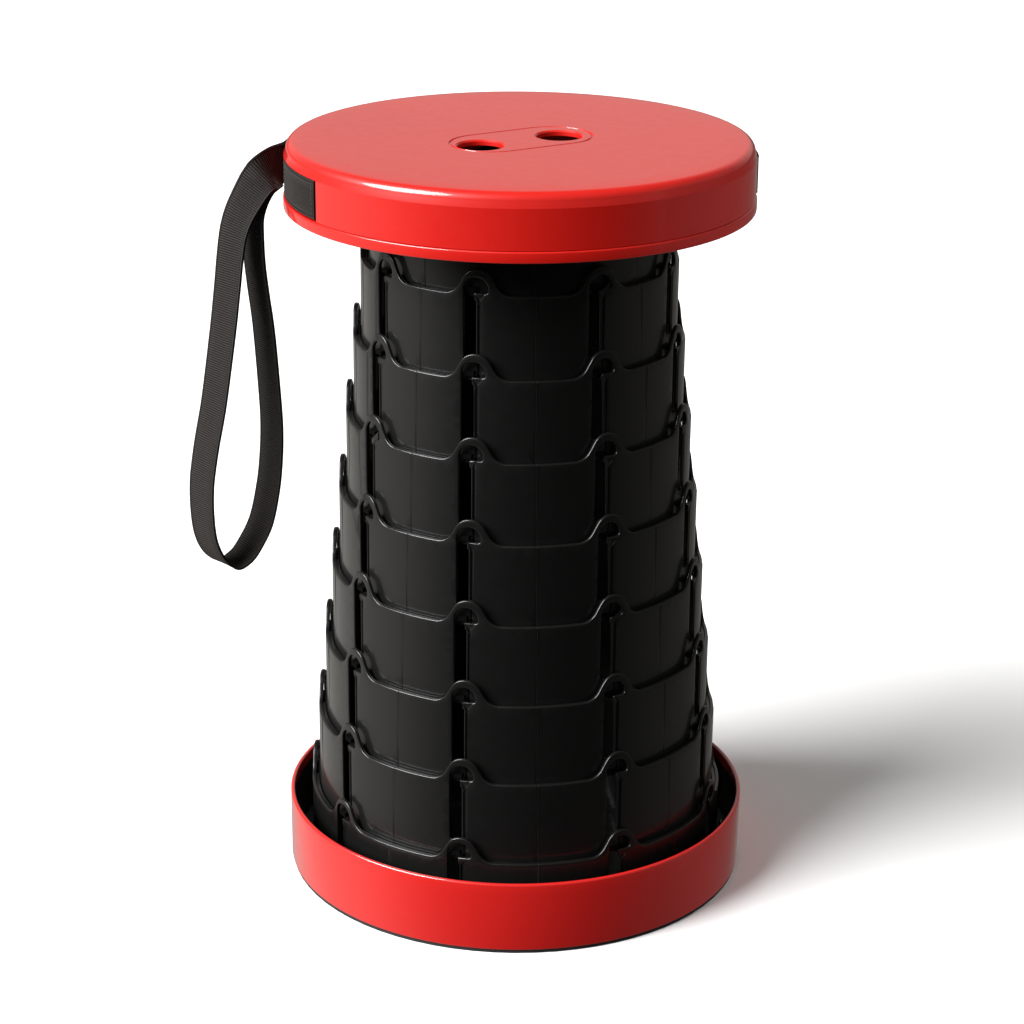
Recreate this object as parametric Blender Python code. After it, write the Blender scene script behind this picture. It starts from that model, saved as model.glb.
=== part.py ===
"""Telescoping camp stool: nine nested rings between a seat cap and a base tray, with a carry strap.

Metres, +Z up, origin at the centre of the base's underside. The stool stands extended.
Angles are measured about +Z from +X, anticlockwise seen from above; the front faces -Y.
"""

import math

import bmesh
import bpy
from mathutils import Matrix, Vector

# Whole stool
HEIGHT = 0.430
GAP = 0.0003

# Telescoping rings, numbered from the innermost, under the seat, to the outermost, in the base
RINGS = 9
RING_RADIUS = 0.0837
RING_RADIUS_STEP = 0.00455
RING_PITCH = 0.045
RING_WALL = 0.0022
RING_TALL = 0.0599
OUTER_DOME_Z = 0.0625

# Scalloped top edge of a ring: a dome over each slot and a flat valley between
DOME_DEGREES = (15.2, 55.2, 95.2, 135.2, 175.2, 215.2, 255.2, 299.4, 340.0)
DOME_ANGLES = tuple(math.radians(angle) for angle in DOME_DEGREES)
DOME_HALF = 0.0050
VALLEY_FROM = 0.0200
VALLEY_DEEP = 0.0140

# Bayonet slot under each dome, and the lug that rides in the next ring's slot
SLOT_LEFT = -0.0065
SLOT_RIGHT = -0.0005
POCKET_RIGHT = 0.0066
POCKET_TOP = 0.0031
POCKET_LEDGE = 0.0121
LUG_LOW = 0.0031
LUG_TALL = 0.0026
TRACK_TOP = 0.0116
TRACK_DEEP = 0.0013
SIDE_CLEARANCE = 0.0003
LUG_REACH = RING_RADIUS_STEP - 0.0012
POCKET_SHOULDER = 0.0076
FLANK_MIDDLE = 0.0133

# Seat cap, its rim band and the ledge for the strap
SEAT_RADIUS = 0.1294
SEAT_WALL = 0.0036
SEAT_PANEL = 0.0030
SEAT_EDGE = 0.0050
SEAT_SHOULDER = 0.0011
BAND_RADIUS = 0.1300
BAND_LOW = 0.3936
BAND_HIGH = 0.3998
BAND_UPSTAND = 0.0060
BAND_GRIP = 0.0016
RECESS_DEEP = 0.0019
STRAP_WIDE = 0.0212
STRAP_THICK = 0.0016
RECESS_FROM = math.radians(1.5)
RECESS_TO = math.radians(214)
FINGER_HOLES = ((-0.0217, -0.0195), (0.0212, 0.0057))
FINGER_RADIUS = 0.0127

# Base tray and its foot
TRAY_RADIUS = 0.1330
TRAY_WALL = 0.0026
TRAY_TOP = 0.0428
TRAY_LOW = 0.0018
TRAY_FLOOR = 0.0035
FOOT_INNER = 0.1286
FOOT_OUTER = 0.1322
FOOT_TALL = 0.0015

# Screws: four hold ring 1 under the seat, four hold ring 9 on the tray
SCREWS = 4
FIRST_SCREW = math.radians(276.5)
SCREW_SHANK = 0.0016
SCREW_HOLE = 0.0020
SCREW_HEAD = 0.0034
HEAD_TALL = 0.0011
SEAT_SCREW_CIRCLE = 0.0755
BASE_SCREW_CIRCLE = 0.1248
BOSS_RADIUS = 0.0042
SEAT_BOSS_LOW = 0.4203
BASE_BOSS_TOP = 0.0140
FLANGE_THICK = 0.0030
PILOT_OVERRUN = 0.01
SEAT_PILOT_ROOF = 0.0045
SEAT_SCREW_ROOF = 0.0060
BASE_PILOT_ROOF = 0.0020
BASE_SCREW_ROOF = 0.0030
SEAT_FLANGE_INNER = 0.0695
BASE_FLANGE_OUTER = 0.1296

# Strap: webbing in the recess, a stitched end patch, and a loop that hangs from the left side.
# The loop's route gives the middle of the webbing, and its last number says how far the width
# leans, from nearly upright (90 degrees) on the skirt to level (0) along the hanging legs.
# Both ends lie on the skirt behind its left edge, one on the other.
PATCH_FROM = math.radians(187)
BAND_TO = math.radians(173)
FRONT_LEG_TURN = math.radians(40)
BACK_LEG_TURN = math.radians(54)
LOOP_ROUTE = (
    (-0.1293, 0.0322, 0.4110, 90),
    (-0.1317, 0.0209, 0.4111, 90),
    (-0.1361, 0.0090, 0.4110, 74),
    (-0.1407, 0.0008, 0.4085, 62),
    (-0.1457, -0.0008, 0.4027, 48),
    (-0.1535, -0.0017, 0.3889, 26),
    (-0.1572, -0.0026, 0.3792, 14),
    (-0.1590, -0.0033, 0.3707, 6),
    (-0.1604, -0.0043, 0.3601, 2),
    (-0.1621, -0.0056, 0.3445, 0),
    (-0.1650, -0.0075, 0.3208, 0),
    (-0.1707, -0.0107, 0.2811, 0),
    (-0.1749, -0.0122, 0.2590, 0),
    (-0.1774, -0.0130, 0.2440, 0),
    (-0.1789, -0.0134, 0.2312, 0),
    (-0.1791, -0.0133, 0.2152, 0),
    (-0.1776, -0.0125, 0.2000, 0),
    (-0.1732, -0.0106, 0.1887, 0),
    (-0.1661, -0.0073, 0.1822, 0),
    (-0.1595, -0.0034, 0.1844, 0),
    (-0.1542, 0.0000, 0.1908, 0),
    (-0.1475, 0.0042, 0.2043, 0),
    (-0.1432, 0.0063, 0.2240, 0),
    (-0.1412, 0.0071, 0.2411, 0),
    (-0.1404, 0.0073, 0.2576, 0),
    (-0.1408, 0.0073, 0.2755, 0),
    (-0.1433, 0.0065, 0.3168, 0),
    (-0.1459, 0.0057, 0.3414, 0),
    (-0.1474, 0.0050, 0.3578, 2),
    (-0.1478, 0.0043, 0.3739, 6),
    (-0.1471, 0.0032, 0.3879, 18),
    (-0.1431, 0.0034, 0.4013, 48),
    (-0.1385, 0.0042, 0.4079, 62),
    (-0.1343, 0.0116, 0.4110, 74),
    (-0.1292, 0.0205, 0.4111, 90),
    (-0.1269, 0.0316, 0.4110, 90),
)

# Steps round a full turn: of the big shells, of the finger holes, and of the screws
FINE = 72
FINGER_SIDES = 32
COARSE = 10

RED = (0.80, 0.07, 0.04, 1)
BLACK = (0.012, 0.012, 0.013, 1)
WEBBING = (0.055, 0.045, 0.042, 1)
RUBBER = (0.015, 0.015, 0.016, 1)
STEEL = (0.55, 0.56, 0.58, 1)


def clear_scene():
    for old in list(bpy.data.objects):
        bpy.data.objects.remove(old, do_unlink=True)


def material(name, colour, roughness, metallic=0.0):
    made = bpy.data.materials.new(name)
    made.use_nodes = True
    shader = made.node_tree.nodes["Principled BSDF"]
    shader.inputs["Base Color"].default_value = colour
    shader.inputs["Roughness"].default_value = roughness
    shader.inputs["Metallic"].default_value = metallic
    return made


def add_object(name, work, finish, origin=(0, 0, 0), parent=None):
    """Turns a bmesh, drawn in world space, into an object whose origin is at the given point."""
    bmesh.ops.recalc_face_normals(work, faces=work.faces)
    bmesh.ops.translate(work, verts=work.verts, vec=-Vector(origin))
    mesh = bpy.data.meshes.new(name)
    work.to_mesh(mesh)
    work.free()
    made = bpy.data.objects.new(name, mesh)
    made.location = origin
    mesh.materials.append(finish)
    mesh.shade_smooth()
    mesh.set_sharp_from_angle(angle=math.radians(35))
    bpy.context.scene.collection.objects.link(made)
    if parent is not None:
        made.parent = parent
        made.matrix_parent_inverse = Matrix.Translation(parent.location).inverted()
    return made


def add_empty(name, location):
    made = bpy.data.objects.new(name, None)
    made.location = location
    made.empty_display_size = 0.02
    bpy.context.scene.collection.objects.link(made)
    return made


def cut(target, cutter):
    """Leaves a live Boolean difference on the target."""
    cutter.hide_render = True
    cutter.display_type = "WIRE"
    modifier = target.modifiers.new("cut_" + cutter.name, "BOOLEAN")
    modifier.operation = "DIFFERENCE"
    modifier.object = cutter


def join(target, addition):
    """Leaves a live Boolean union on the target."""
    addition.hide_render = True
    addition.display_type = "WIRE"
    modifier = target.modifiers.new("join_" + addition.name, "BOOLEAN")
    modifier.operation = "UNION"
    modifier.object = addition


def on_circle(radius, angle, z):
    return Vector((radius * math.cos(angle), radius * math.sin(angle), z))


def cylinder_into(work, radius, low, high, centre, sides=COARSE):
    rings = []
    for z in (low, high):
        points = [on_circle(radius, 2 * math.pi * i / sides, z) for i in range(sides)]
        rings.append([work.verts.new(p + Vector((centre[0], centre[1], 0))) for p in points])
    work.faces.new(list(reversed(rings[0])))
    work.faces.new(rings[1])
    for i in range(sides):
        after = (i + 1) % sides
        work.faces.new((rings[0][i], rings[0][after], rings[1][after], rings[1][i]))


def turned(profile_at, steps=FINE, start=0.0, end=2 * math.pi):
    """A closed profile of (radius, z) points carried round the axis; part of a turn gets end caps."""
    whole = end - start > 2 * math.pi - 1e-6
    work = bmesh.new()
    loops = []
    for i in range(steps if whole else steps + 1):
        angle = start + (end - start) * i / steps
        loops.append([work.verts.new(on_circle(r, angle, z)) for r, z in profile_at(angle)])
    for i in range(steps):
        here, there = loops[i], loops[(i + 1) % len(loops)]
        for j in range(len(here)):
            after = (j + 1) % len(here)
            work.faces.new((here[j], there[j], there[after], here[after]))
    if not whole:
        work.faces.new(loops[0])
        work.faces.new(list(reversed(loops[-1])))
    return work


def arc_points(centre, radius, first, last, count):
    """Points of a fillet in the (radius, z) plane, between two angles in degrees."""
    angles = [math.radians(first + (last - first) * i / (count - 1)) for i in range(count)]
    return [(centre[0] + radius * math.cos(a), centre[1] + radius * math.sin(a)) for a in angles]


def cell_body(angles, heights_at, radii, filled):
    """A closed body from a grid of cells wrapped round the axis.

    angles are the columns, heights_at(i) the rows at column i, radii the layers, and
    filled(i, j, k) says whether the cell between each and the next is solid.
    """
    columns, rows, layers = len(angles), len(heights_at(0)) - 1, len(radii) - 1
    work = bmesh.new()
    corners = {}

    def corner(i, j, k):
        key = (i % columns, j, k)
        if key not in corners:
            corners[key] = work.verts.new(on_circle(radii[k], angles[key[0]], heights_at(key[0])[j]))
        return corners[key]

    def solid(i, j, k):
        return 0 <= j < rows and 0 <= k < layers and filled(i % columns, j, k)

    sides = {
        (0, 0, 1): ((0, 0, 1), (1, 0, 1), (1, 1, 1), (0, 1, 1)),
        (0, 0, -1): ((0, 0, 0), (0, 1, 0), (1, 1, 0), (1, 0, 0)),
        (0, 1, 0): ((0, 1, 0), (0, 1, 1), (1, 1, 1), (1, 1, 0)),
        (0, -1, 0): ((0, 0, 0), (1, 0, 0), (1, 0, 1), (0, 0, 1)),
        (1, 0, 0): ((1, 0, 0), (1, 1, 0), (1, 1, 1), (1, 0, 1)),
        (-1, 0, 0): ((0, 0, 0), (0, 0, 1), (0, 1, 1), (0, 1, 0)),
    }
    for i in range(columns):
        for j in range(rows):
            for k in range(layers):
                if not solid(i, j, k):
                    continue
                for (di, dj, dk), square in sides.items():
                    if not solid(i + di, j + dj, k + dk):
                        work.faces.new([corner(i + a, j + b, k + c) for a, b, c in square])
    return work


def ring_radius(number):
    return RING_RADIUS + RING_RADIUS_STEP * (number - 1)


def dome_z(number):
    return OUTER_DOME_Z + RING_PITCH * (RINGS - number)


def scallop_drop(along):
    """How far the top edge lies below the dome, at a distance round the ring from its middle."""
    share = (abs(along) - DOME_HALF) / (VALLEY_FROM - DOME_HALF)
    share = min(max(share, 0.0), 1.0)
    return VALLEY_DEEP * share * share * (3 - 2 * share)


def ring_work(number):
    """A ring with its slots, its tracks for the lugs inside it, and its own lugs."""
    radius = ring_radius(number)
    outer_radius = ring_radius(number + 1)
    has_slots = number > 1
    has_lugs = number < RINGS
    slot = (SLOT_LEFT / radius, SLOT_RIGHT / radius)
    lug_sides = (SLOT_LEFT + SIDE_CLEARANCE, SLOT_RIGHT - SIDE_CLEARANCE)
    lug = tuple(side / outer_radius for side in lug_sides)
    pocket = POCKET_RIGHT / radius
    low = max(dome_z(number) - RING_TALL, TRAY_FLOOR + GAP)

    across_dome = [slot[0], slot[1], lug[0], lug[1], pocket]
    for edge in (POCKET_SHOULDER, FLANK_MIDDLE, VALLEY_FROM):
        across_dome += [-edge / radius, edge / radius]
    across_dome.sort()
    angles, from_dome = [], []
    for dome, following in zip(DOME_ANGLES, DOME_ANGLES[1:] + DOME_ANGLES[:1]):
        half_way = (following - dome) % (2 * math.pi) / 2
        for turn in across_dome + [half_way]:
            angles.append(dome + turn)
            from_dome.append(turn)

    def heights_at(column):
        top = dome_z(number) - scallop_drop(from_dome[column] * radius) if has_slots else SEAT_BOSS_LOW - GAP
        ledge = min(dome_z(number) - POCKET_LEDGE, top - 2 * GAP)
        roof = min(dome_z(number) - POCKET_TOP, top - GAP)
        return [low, low + LUG_LOW, low + LUG_LOW + LUG_TALL, low + TRACK_TOP, ledge, roof, top]

    radii = [radius - RING_WALL, radius - RING_WALL + TRACK_DEEP, radius, radius + LUG_REACH]

    def filled(column, row, layer):
        middle = from_dome[column]
        in_slot = has_slots and slot[0] <= middle < slot[1]
        in_pocket = has_slots and slot[0] <= middle < pocket
        if layer == 2:
            return has_lugs and row == 1 and lug[0] <= middle < lug[1]
        if row <= 2:
            return not (layer == 0 and in_slot)
        if row == 3:
            return not in_slot
        if row == 4:
            return not in_pocket
        return True

    return cell_body(angles, heights_at, radii, filled)


def flange_work(inner, outer, low, high):
    return turned(lambda angle: ((inner, high), (outer, high), (outer, low), (inner, low)), FINE // 2)


def screw_angles():
    return [FIRST_SCREW + 2 * math.pi * n / SCREWS for n in range(SCREWS)]


def screw_cutters(name, circle, low, high, finish):
    """One helper body of round holes, all at the screws' places."""
    work = bmesh.new()
    for angle in screw_angles():
        cylinder_into(work, SCREW_HOLE, low, high, on_circle(circle, angle, 0))
    return add_object(name, work, finish)


def add_ring(number, finish, parent):
    name = f"ring_{number}"
    ring = add_object(name, ring_work(number), finish, (0, 0, dome_z(number)), parent)
    radius = ring_radius(number)
    overlap = RING_WALL / 2
    if number == 1:
        flange_top = SEAT_BOSS_LOW - GAP
        work = flange_work(SEAT_FLANGE_INNER, radius - overlap, flange_top - FLANGE_THICK, flange_top)
        join(ring, add_object("ring_1_flange", work, finish))
        low, high = flange_top - PILOT_OVERRUN, flange_top + PILOT_OVERRUN
        cut(ring, screw_cutters("ring_1_holes", SEAT_SCREW_CIRCLE, low, high, finish))
    if number == RINGS:
        low = TRAY_FLOOR + GAP
        work = flange_work(radius - overlap, BASE_FLANGE_OUTER, low, low + FLANGE_THICK)
        join(ring, add_object("ring_9_flange", work, finish))
        bosses = bmesh.new()
        for angle in screw_angles():
            centre = on_circle(BASE_SCREW_CIRCLE, angle, 0)
            cylinder_into(bosses, BOSS_RADIUS, low + FLANGE_THICK / 2, BASE_BOSS_TOP, centre)
        join(ring, add_object("ring_9_bosses", bosses, finish))
        high = BASE_BOSS_TOP - BASE_PILOT_ROOF
        cut(ring, screw_cutters("ring_9_holes", BASE_SCREW_CIRCLE, low - PILOT_OVERRUN, high, finish))
    return ring


def in_recess(angle):
    return RECESS_FROM <= angle % (2 * math.pi) <= RECESS_TO


def seat_profile(angle):
    """The cap's section: flat top, rounded edge, skirt with the strap's recess, and the inside."""
    skirt = SEAT_RADIUS
    deep = RECESS_DEEP if in_recess(angle) else 0.0
    low = BAND_HIGH + GAP
    recess_low = BAND_HIGH + 2 * GAP
    recess_high = recess_low + STRAP_WIDE + 2 * GAP
    inner = SEAT_RADIUS - SEAT_WALL
    edge = arc_points((skirt - SEAT_SHOULDER - SEAT_EDGE, HEIGHT - SEAT_EDGE), SEAT_EDGE, 90, 0, 5)
    outside = [(skirt, recess_high), (skirt - deep, recess_high - GAP / 2)]
    outside += [(skirt - deep, recess_low), (skirt - deep, low), (inner, low)]
    return edge + outside + [(inner, HEIGHT - SEAT_PANEL)]


def seat_angles():
    """Turn steps with a pair of close steps at each end of the recess, so its ends are square."""
    steps = [2 * math.pi * i / FINE for i in range(FINE)]
    steps = [a for a in steps if min(abs(a - RECESS_FROM), abs(a - RECESS_TO)) > math.radians(1.2)]
    ends = [RECESS_FROM - 0.001, RECESS_FROM, RECESS_TO, RECESS_TO + 0.001]
    return sorted(steps + ends)


def seat_work():
    """The cap as a closed skin: profile loops, joined round, and closed over the middle."""
    work = bmesh.new()
    angles = seat_angles()
    loops = [[work.verts.new(on_circle(r, a, z)) for r, z in seat_profile(a)] for a in angles]
    count = len(loops[0])
    for i, here in enumerate(loops):
        there = loops[(i + 1) % len(loops)]
        for j in range(count - 1):
            work.faces.new((here[j], there[j], there[j + 1], here[j + 1]))
    work.faces.new([loop[0] for loop in loops])
    work.faces.new([loop[-1] for loop in reversed(loops)])
    return work


def add_seat(finish, parent):
    seat = add_object("seat_panel", seat_work(), finish, (0, 0, HEIGHT), parent)
    bosses = bmesh.new()
    for angle in screw_angles():
        centre = on_circle(SEAT_SCREW_CIRCLE, angle, 0)
        cylinder_into(bosses, BOSS_RADIUS, SEAT_BOSS_LOW, HEIGHT - SEAT_PANEL / 2, centre)
    join(seat, add_object("seat_bosses", bosses, finish))
    low, high = SEAT_BOSS_LOW - PILOT_OVERRUN, HEIGHT - SEAT_PILOT_ROOF
    cut(seat, screw_cutters("seat_pilots", SEAT_SCREW_CIRCLE, low, high, finish))
    holes = bmesh.new()
    for centre in FINGER_HOLES:
        low, high = HEIGHT - PILOT_OVERRUN, HEIGHT + PILOT_OVERRUN
        cylinder_into(holes, FINGER_RADIUS, low, high, centre, FINGER_SIDES)
    cut(seat, add_object("finger_holes", holes, finish))
    return seat


def band_profile(angle):
    """The rim band: a ledge outside, and a thin upstand that grips the inside of the skirt."""
    grip = SEAT_RADIUS - SEAT_WALL - GAP
    inner = grip - BAND_GRIP
    high = BAND_HIGH + BAND_UPSTAND
    return (
        (grip, high),
        (grip, BAND_HIGH),
        (BAND_RADIUS, BAND_HIGH),
        (BAND_RADIUS, BAND_LOW + 0.001),
        (BAND_RADIUS - 0.001, BAND_LOW),
        (inner, BAND_LOW),
        (inner, high),
    )


def tray_profile(angle):
    """The tray's section from the rounded rim down the outside and back along the floor."""
    middle = TRAY_RADIUS - TRAY_WALL / 2
    rim = arc_points((middle, TRAY_TOP - TRAY_WALL / 2), TRAY_WALL / 2, 180, 0, 5)
    return rim + [(TRAY_RADIUS, TRAY_LOW + 0.001), (TRAY_RADIUS - 0.001, TRAY_LOW)]


def tray_work():
    work = bmesh.new()
    steps = [2 * math.pi * i / FINE for i in range(FINE)]
    inner = TRAY_RADIUS - TRAY_WALL
    loops = []
    for angle in steps:
        points = [(inner, TRAY_FLOOR)] + list(tray_profile(angle))
        loops.append([work.verts.new(on_circle(r, angle, z)) for r, z in points])
    count = len(loops[0])
    for i, here in enumerate(loops):
        there = loops[(i + 1) % len(loops)]
        for j in range(count - 1):
            work.faces.new((here[j], there[j], there[j + 1], here[j + 1]))
    work.faces.new([loop[0] for loop in loops])
    work.faces.new([loop[-1] for loop in reversed(loops)])
    return work


def add_base(finish, rubber):
    tray = add_object("base_tray", tray_work(), finish)
    holes = screw_cutters("tray_holes", BASE_SCREW_CIRCLE, 0, TRAY_FLOOR + PILOT_OVERRUN, finish)
    cut(tray, holes)
    foot = ((FOOT_INNER, FOOT_TALL), (FOOT_OUTER, FOOT_TALL), (FOOT_OUTER, 0), (FOOT_INNER, 0))
    add_object("foot_ring", turned(lambda angle: foot, FINE), rubber)


def add_screw(name, circle, angle, head_low, tip, finish, parent):
    """A screw driven upwards: a flat head under the hole and a plain shank into the boss."""
    place = on_circle(circle, angle, 0)
    profile = (
        (0.0, head_low),
        (SCREW_HEAD, head_low),
        (SCREW_HEAD, head_low + HEAD_TALL),
        (SCREW_SHANK, head_low + HEAD_TALL),
        (SCREW_SHANK, tip - SCREW_SHANK),
        (0.0, tip),
    )
    work = bmesh.new()
    loops = []
    for i in range(COARSE):
        turn = 2 * math.pi * i / COARSE
        loops.append([work.verts.new(on_circle(r, turn, z) + place) for r, z in profile[1:-1]])
    bottom = work.verts.new(place + Vector((0, 0, profile[0][1])))
    top = work.verts.new(place + Vector((0, 0, tip)))
    for i, here in enumerate(loops):
        there = loops[(i + 1) % COARSE]
        work.faces.new((bottom, there[0], here[0]))
        work.faces.new((top, here[-1], there[-1]))
        for j in range(len(here) - 1):
            work.faces.new((here[j], there[j], there[j + 1], here[j + 1]))
    add_object(name, work, finish, place + Vector((0, 0, head_low)), parent)


def add_strap_run(name, start, end, steps, finish, parent):
    """A run of the webbing that lies in the skirt's recess, between two angles."""
    low = BAND_HIGH + 3 * GAP
    outer = SEAT_RADIUS
    inner = outer - STRAP_THICK
    profile = ((inner, low + STRAP_WIDE), (outer, low + STRAP_WIDE), (outer, low), (inner, low))
    add_object(name, turned(lambda angle: profile, steps, start, end), finish, parent=parent)


def loop_route():
    """The loop's smooth middle line, as (point, width direction) pairs."""
    points = [Vector(row) for row in LOOP_ROUTE]
    padded = [2 * points[0] - points[1], *points, 2 * points[-1] - points[-2]]
    rows = []
    for a, b, c, d in zip(padded, padded[1:], padded[2:], padded[3:]):
        for t in (0, 0.5):
            rows.append(
                0.5 * (2 * b + (c - a) * t + (2 * a - 5 * b + 4 * c - d) * t * t + (3 * b - a - 3 * c + d) * t**3)
            )
    rows.append(points[-1])
    route = []
    for i, row in enumerate(rows):
        share = i / (len(rows) - 1)
        turn = FRONT_LEG_TURN + (BACK_LEG_TURN - FRONT_LEG_TURN) * share
        lean = math.radians(row[3])
        level = Vector((math.cos(turn), -math.sin(turn), 0))
        route.append((row.to_3d(), level * math.cos(lean) + Vector((0, 0, -math.sin(lean)))))
    return route


def add_strap_loop(finish, parent):
    """The hanging loop of webbing, a flat ribbon with both ends capped."""
    route = loop_route()
    work = bmesh.new()
    loops = []
    for i, (point, wide) in enumerate(route):
        along = (route[min(i + 1, len(route) - 1)][0] - route[max(i - 1, 0)][0]).normalized()
        across = (wide - along * wide.dot(along)).normalized()
        face = along.cross(across) * STRAP_THICK / 2
        half = across * STRAP_WIDE / 2
        loops.append([work.verts.new(point + a * half + b * face) for a, b in ((-1, -1), (1, -1), (1, 1), (-1, 1))])
    for here, there in zip(loops, loops[1:]):
        for j in range(4):
            after = (j + 1) % 4
            work.faces.new((here[j], there[j], there[after], here[after]))
    work.faces.new(loops[0])
    work.faces.new(list(reversed(loops[-1])))
    add_object("strap_loop", work, finish, LOOP_ROUTE[0][:3], parent)


def main():
    clear_scene()
    red = material("seat_red", RED, 0.22)
    base_red = material("base_red", RED, 0.18)
    band_red = material("band_red", RED, 0.25)
    webbing = material("webbing", WEBBING, 0.85)
    rubber = material("rubber", RUBBER, 0.7)
    steel = material("screw_steel", STEEL, 0.35, 1.0)

    add_base(base_red, rubber)
    add_ring(RINGS, material("ring_black_9", BLACK, 0.3), None)
    for i, angle in enumerate(screw_angles(), 1):
        head_low = TRAY_LOW - GAP - HEAD_TALL
        add_screw(f"base_screw_{i}", BASE_SCREW_CIRCLE, angle, head_low, BASE_BOSS_TOP - BASE_SCREW_ROOF, steel, None)

    carrier = None
    for number in range(RINGS - 1, 1, -1):
        carrier_above = add_empty(f"slide_{number}", (0, 0, dome_z(number)))
        carrier_above.parent = carrier
        if carrier is not None:
            carrier_above.matrix_parent_inverse = Matrix.Translation(-Vector((0, 0, dome_z(number + 1))))
        carrier = carrier_above
        add_ring(number, material(f"ring_black_{number}", BLACK, 0.3), carrier)

    seat_body = add_empty("seat_slide", (0, 0, HEIGHT))
    seat_body.parent = carrier
    seat_body.matrix_parent_inverse = Matrix.Translation(-Vector((0, 0, dome_z(2))))
    bpy.context.view_layer.update()
    add_ring(1, material("ring_black_1", BLACK, 0.3), seat_body)
    add_seat(red, seat_body)
    add_object("seat_band", turned(band_profile), band_red, parent=seat_body)
    for i, angle in enumerate(screw_angles(), 1):
        head_low = SEAT_BOSS_LOW - FLANGE_THICK - 2 * GAP - HEAD_TALL
        add_screw(f"seat_screw_{i}", SEAT_SCREW_CIRCLE, angle, head_low, HEIGHT - SEAT_SCREW_ROOF, steel, seat_body)
    clear = math.radians(0.8)
    add_strap_run("strap_band", RECESS_FROM + clear, BAND_TO, 48, webbing, seat_body)
    add_strap_run("strap_patch", PATCH_FROM, RECESS_TO - clear, 8, webbing, seat_body)
    add_strap_loop(webbing, seat_body)


main()
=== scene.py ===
"""The telescoping camp stool's looks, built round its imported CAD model. Metres, +Z up, front at -Y."""

import math

import bmesh
import bpy
from mathutils import Matrix, Vector
from mathutils.bvhtree import BVHTree
from mathutils.geometry import delaunay_2d_cdt


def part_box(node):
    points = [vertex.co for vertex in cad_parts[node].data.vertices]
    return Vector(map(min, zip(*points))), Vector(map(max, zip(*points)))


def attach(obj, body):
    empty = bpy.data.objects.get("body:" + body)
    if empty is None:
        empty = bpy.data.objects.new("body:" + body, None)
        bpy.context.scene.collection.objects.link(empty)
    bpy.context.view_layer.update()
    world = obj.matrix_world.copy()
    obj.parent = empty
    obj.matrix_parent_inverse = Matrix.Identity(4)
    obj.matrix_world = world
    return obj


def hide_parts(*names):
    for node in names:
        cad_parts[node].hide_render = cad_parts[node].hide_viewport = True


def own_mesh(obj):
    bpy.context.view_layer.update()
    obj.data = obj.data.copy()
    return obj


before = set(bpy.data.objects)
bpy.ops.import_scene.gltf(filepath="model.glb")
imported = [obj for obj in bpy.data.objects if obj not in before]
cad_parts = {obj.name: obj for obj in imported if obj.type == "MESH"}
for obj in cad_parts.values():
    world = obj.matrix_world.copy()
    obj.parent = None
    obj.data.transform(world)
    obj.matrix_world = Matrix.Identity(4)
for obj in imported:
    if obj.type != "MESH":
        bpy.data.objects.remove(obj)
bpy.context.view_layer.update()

MM = 0.001

# The camera stands in front and above, and looks down a little
CAMERA_AT = (-0.0038, -1.4935, 0.7618)
CAMERA_DOWN = 20.208
CAMERA_ROLL = 0.3987
CAMERA_PAN = 0.0209
CAMERA_LENS = 97.65
SENSOR_WIDE = 36

# Studio: a soft key from the left, a low fill from the right, a dim room and a bright backdrop behind.
# Directions are in degrees round from +X and up from level.
KEY_FROM = 205
KEY_HIGH = 36
KEY_SPREAD = 42
KEY_LIGHT = 7.9
FILL_FROM = 5
FILL_HIGH = 4
FILL_SPREAD = 60
FILL_LIGHT = 2.1
ROOM_LIGHT = 0.13
BACKDROP_LIGHT = 0.3
FLOOR_BOUNCE = 0.55
FLOOR_GLOW = 0.02
WARM_WHITE = (1, 0.97, 0.91, 1)

# Colours, as linear light
SEAT_RED = (0.56, 0.0075, 0.004)
BASE_RED = (0.56, 0.013, 0.011)
RING_BLACK = (0.0045, 0.0043, 0.0042)
# The lugs take a black darker than the rings', painted shade that makes them read as deep in their slots.
LUG_PAINTED_SHADE = (0.002, 0.002, 0.002)
RUBBER_BLACK = (0.018, 0.018, 0.019)
THREAD_GREY = (0.03, 0.027, 0.025)

# Where the sky's parts fade in and out, along the unit direction of view
BACKDROP_BEHIND = (0.55, 0.95)
BACKDROP_ABOVE = (0.0, 0.15)
BOUNCE_FRONT = (-0.85, 0.0)
BOUNCE_BELOW = (-0.2, 0.05)
BOUNCE_SIDE = (-0.5, 0.6)
BOUNCE_SIDE_LEAST = 0.2
ROOM_ABOVE = (-0.1, 0.15)

# Rings, numbered from the innermost outwards
RINGS = 9
INNERMOST_RADIUS = 83.7 * MM
RING_STEP = 4.55 * MM
RING_WALL = 2.2 * MM
SEAT_FLANGE_INNER = 69.5 * MM
BASE_FLANGE_OUTER = 129.6 * MM
FLANGE_THICK = 3 * MM
FLANGE_OVERLAP = 1 * MM
DOME_DEGREES = (15.2, 55.2, 95.2, 135.2, 175.2, 215.2, 255.2, 299.4, 340.0)
DOME_ROUND = 9.0 * MM
VALLEY_ROUND = 9.9 * MM
FLANK_LEAN = math.radians(60)
VALLEY_DEEP = 14.0 * MM
RIM_ROUND = 0.6 * MM
# Rings 2 to 8 stand this much above their CAD rims, which hides the daylight between rings
RIM_RISE = 1.0 * MM

# How far apart the mesh's points are, round a ring and up it
MESH_ROUND = 0.8 * MM
MESH_UP = 7 * MM
SLOT_MESH_UP = 5 * MM
FLANGE_SIDES = 96

# One fine mould line runs down each panel, to the left of its middle
MOULD_LINE = 2.8 * MM
MOULD_WIDE = 0.4 * MM
MOULD_DEEP = 0.14 * MM

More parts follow.
